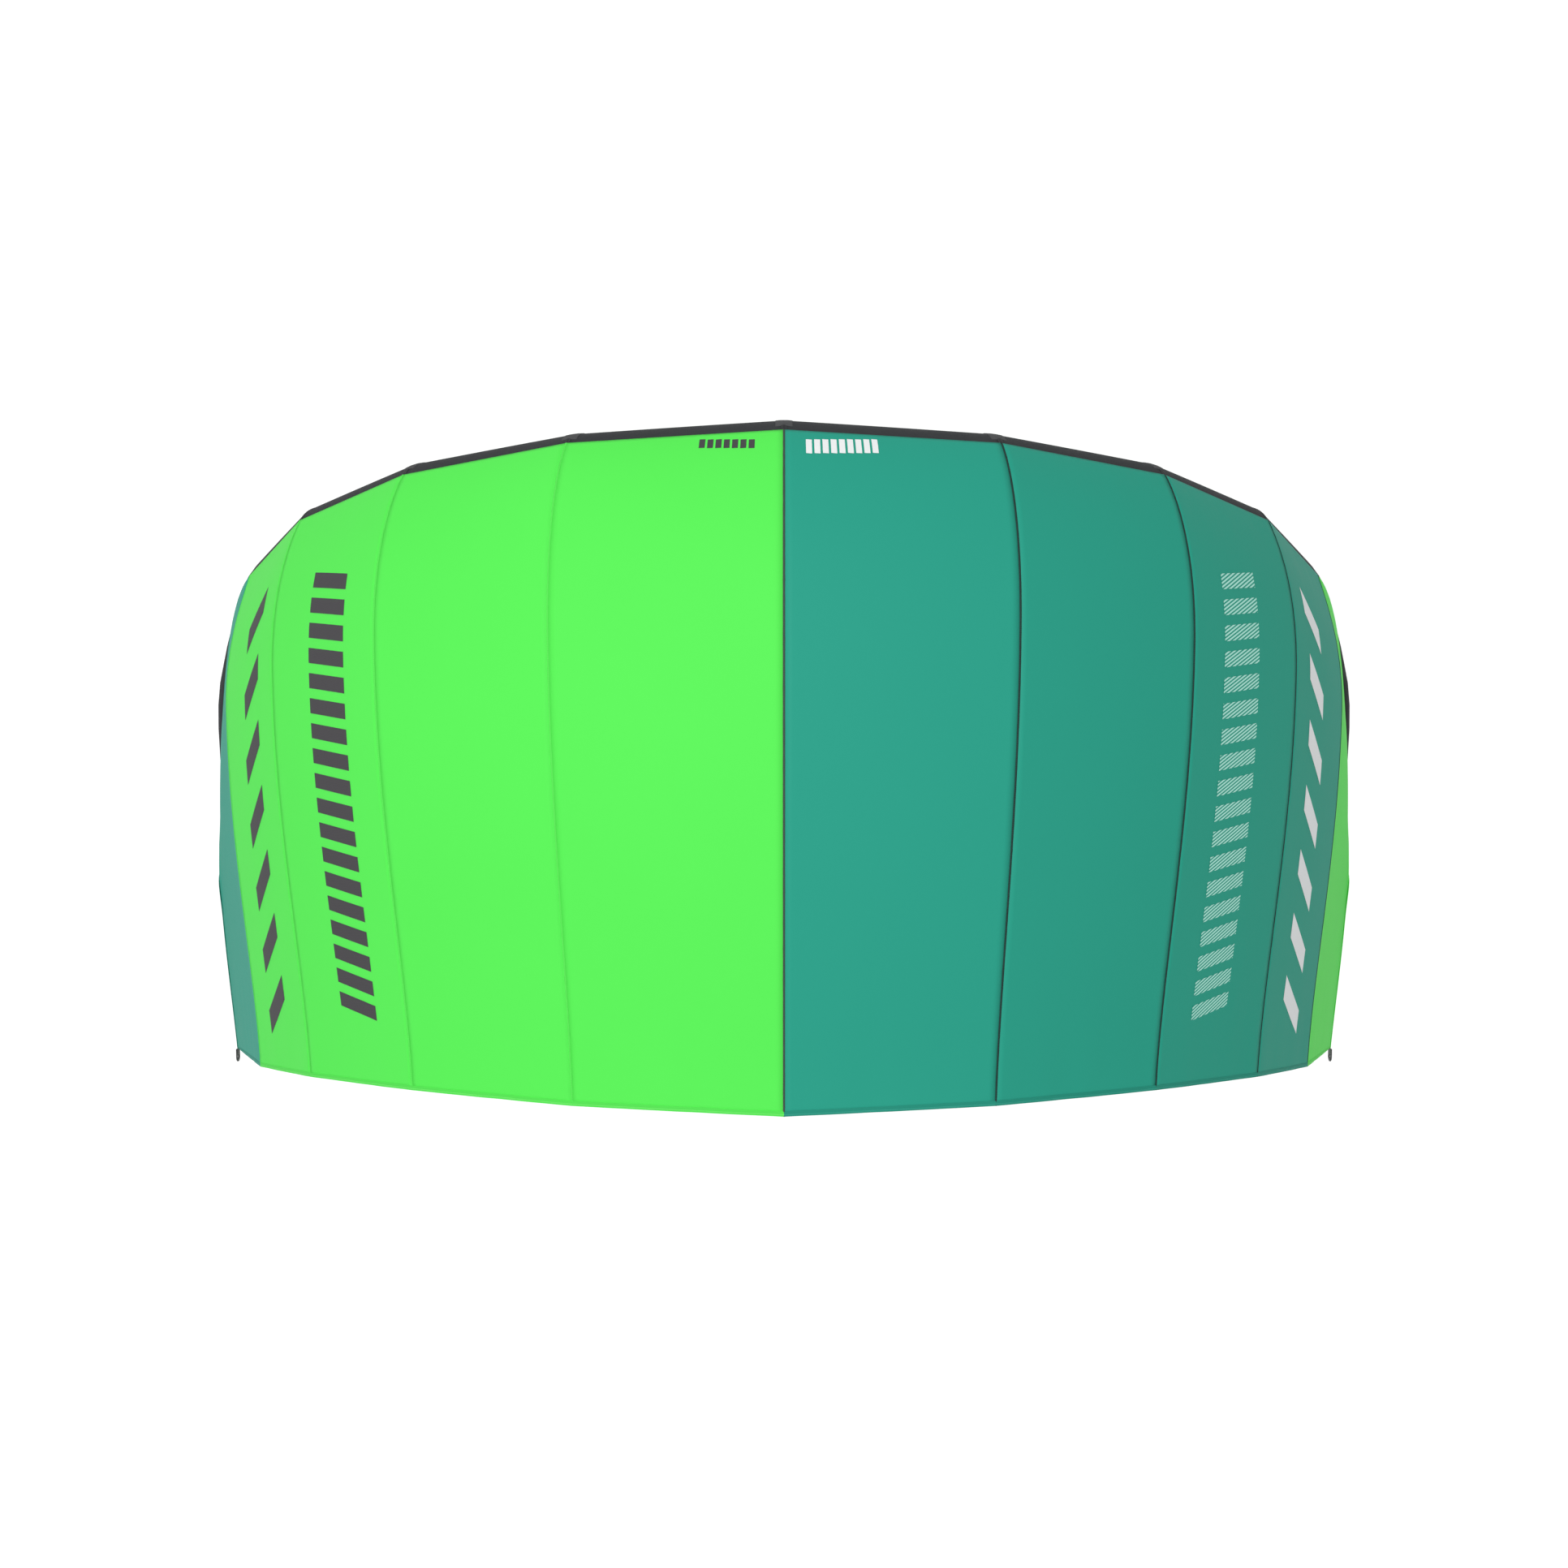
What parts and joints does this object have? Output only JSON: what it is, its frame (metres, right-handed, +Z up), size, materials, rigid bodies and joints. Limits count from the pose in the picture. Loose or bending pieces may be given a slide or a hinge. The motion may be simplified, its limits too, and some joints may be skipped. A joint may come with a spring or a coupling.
{
  "type": "inflatable kite",
  "caption": "Inflatable power kite: arched two-colour canopy over a tapered inflated leading edge and struts, with valve, hose clips and line tabs.",
  "frame": {"origin": "on the ground, under the middle of the kite as it stands on its two wingtips", "axes": "+X across the span to the teal half, +Y towards the leading edge, +Z up"},
  "size_m": [3.8948, 2.0384, 1.7237],
  "materials": {
    "green_cloth": "lime green coated ripstop",
    "teal_cloth": "teal coated ripstop",
    "tube_cloth": "charcoal polyester sailcloth",
    "patch_cloth": "grey reinforcing cloth",
    "bladder_film": "clear film, seen only inside",
    "webbing": "black webbing",
    "black_plastic": "black moulded plastic",
    "grey_plastic": "grey moulded plastic",
    "hose_rubber": "dark hose"
  },
  "bodies": {
    "wing": {"canopy_panel_1_right": "teal_cloth", "canopy_panel_2_right": "teal_cloth", "canopy_panel_3_right": "teal_cloth", "canopy_panel_4_right": "teal_cloth", "canopy_panel_5_right": "green_cloth", "trailing_edge_hem_right": "teal_cloth", "wingtip_hem_right": "green_cloth", "leading_edge_tube_1_right": "tube_cloth", "leading_edge_tube_2_right": "tube_cloth", "leading_edge_tube_3_right": "tube_cloth", "leading_edge_tube_4_right": "tube_cloth", "leading_edge_tube_5_right": "tube_cloth", "leading_edge_tube_6_right": "tube_cloth", "kink_patch_inner_right": "patch_cloth", "kink_patch_outer_right": "patch_cloth", "bridle_tab_inner_right": "webbing", "bridle_tab_middle_right": "webbing", "bridle_tab_outer_right": "webbing", "rear_line_tab_right": "webbing", "canopy_panel_1_left": "green_cloth", "canopy_panel_2_left": "green_cloth", "canopy_panel_3_left": "green_cloth", "canopy_panel_4_left": "green_cloth", "canopy_panel_5_left": "teal_cloth", "trailing_edge_hem_left": "green_cloth", "wingtip_hem_left": "teal_cloth", "leading_edge_tube_1_left": "tube_cloth", "leading_edge_tube_2_left": "tube_cloth", "leading_edge_tube_3_left": "tube_cloth", "leading_edge_tube_4_left": "tube_cloth", "leading_edge_tube_5_left": "tube_cloth", "leading_edge_tube_6_left": "tube_cloth", "kink_patch_inner_left": "patch_cloth", "kink_patch_outer_left": "patch_cloth", "bridle_tab_inner_left": "webbing", "bridle_tab_middle_left": "webbing", "bridle_tab_outer_left": "webbing", "rear_line_tab_left": "webbing", "kink_patch_centre": "patch_cloth", "leading_edge_bladder": "bladder_film", "strut_casing_centre": "tube_cloth", "strut_bladder_centre": "bladder_film", "inflation_hose_centre": "hose_rubber", "hose_clip_centre": "grey_plastic", "strut_casing_right": "tube_cloth", "strut_bladder_right": "bladder_film", "inflation_hose_right": "hose_rubber", "hose_clip_right": "grey_plastic", "strut_casing_left": "tube_cloth", "strut_bladder_left": "bladder_film", "inflation_hose_left": "hose_rubber", "hose_clip_left": "grey_plastic", "valve_base": "grey_plastic", "bladder_zip": "black_plastic"},
    "valve_collar": {"valve_collar": "black_plastic"},
    "valve_cap": {"valve_cap": "black_plastic"},
    "zip_slider": {"zip_slider": "grey_plastic"},
    "clip_lever_centre": {"hose_clip_lever_centre": "black_plastic"},
    "clip_lever_right": {"hose_clip_lever_right": "black_plastic"},
    "clip_lever_left": {"hose_clip_lever_left": "black_plastic"}
  },
  "joints": [
    {"name": "valve_collar_turn", "type": "hinge", "parent": "wing", "child": "valve_collar", "pos_m": [-0.27213, 0.81495, 1.4772], "axis": [0, -1, 0], "range_deg": [0, 60]},
    {"name": "valve_cap_swing", "type": "hinge", "parent": "valve_collar", "child": "valve_cap", "pos_m": [-0.27213, 0.79875, 1.5062], "axis": [-1, 0, 0], "range_deg": [0, 110]},
    {"name": "clip_lever_centre_open", "type": "hinge", "parent": "wing", "child": "clip_lever_centre", "pos_m": [0.07402, 0.7385, 1.46119], "axis": [0, 1, 0], "range_deg": [0, 100]},
    {"name": "clip_lever_right_open", "type": "hinge", "parent": "wing", "child": "clip_lever_right", "pos_m": [1.02696, 0.66455, 1.11891], "axis": [0, 1, 0], "range_deg": [0, 100]},
    {"name": "clip_lever_left_open", "type": "hinge", "parent": "wing", "child": "clip_lever_left", "pos_m": [-1.02696, 0.66455, 1.11891], "axis": [0, -1, 0], "range_deg": [0, 100]},
    {"name": "zip_slider_run", "type": "slide", "parent": "wing", "child": "zip_slider", "axis": [0.988, -0.0403, -0.1492], "range_m": [0, 0.35]}
  ]
}
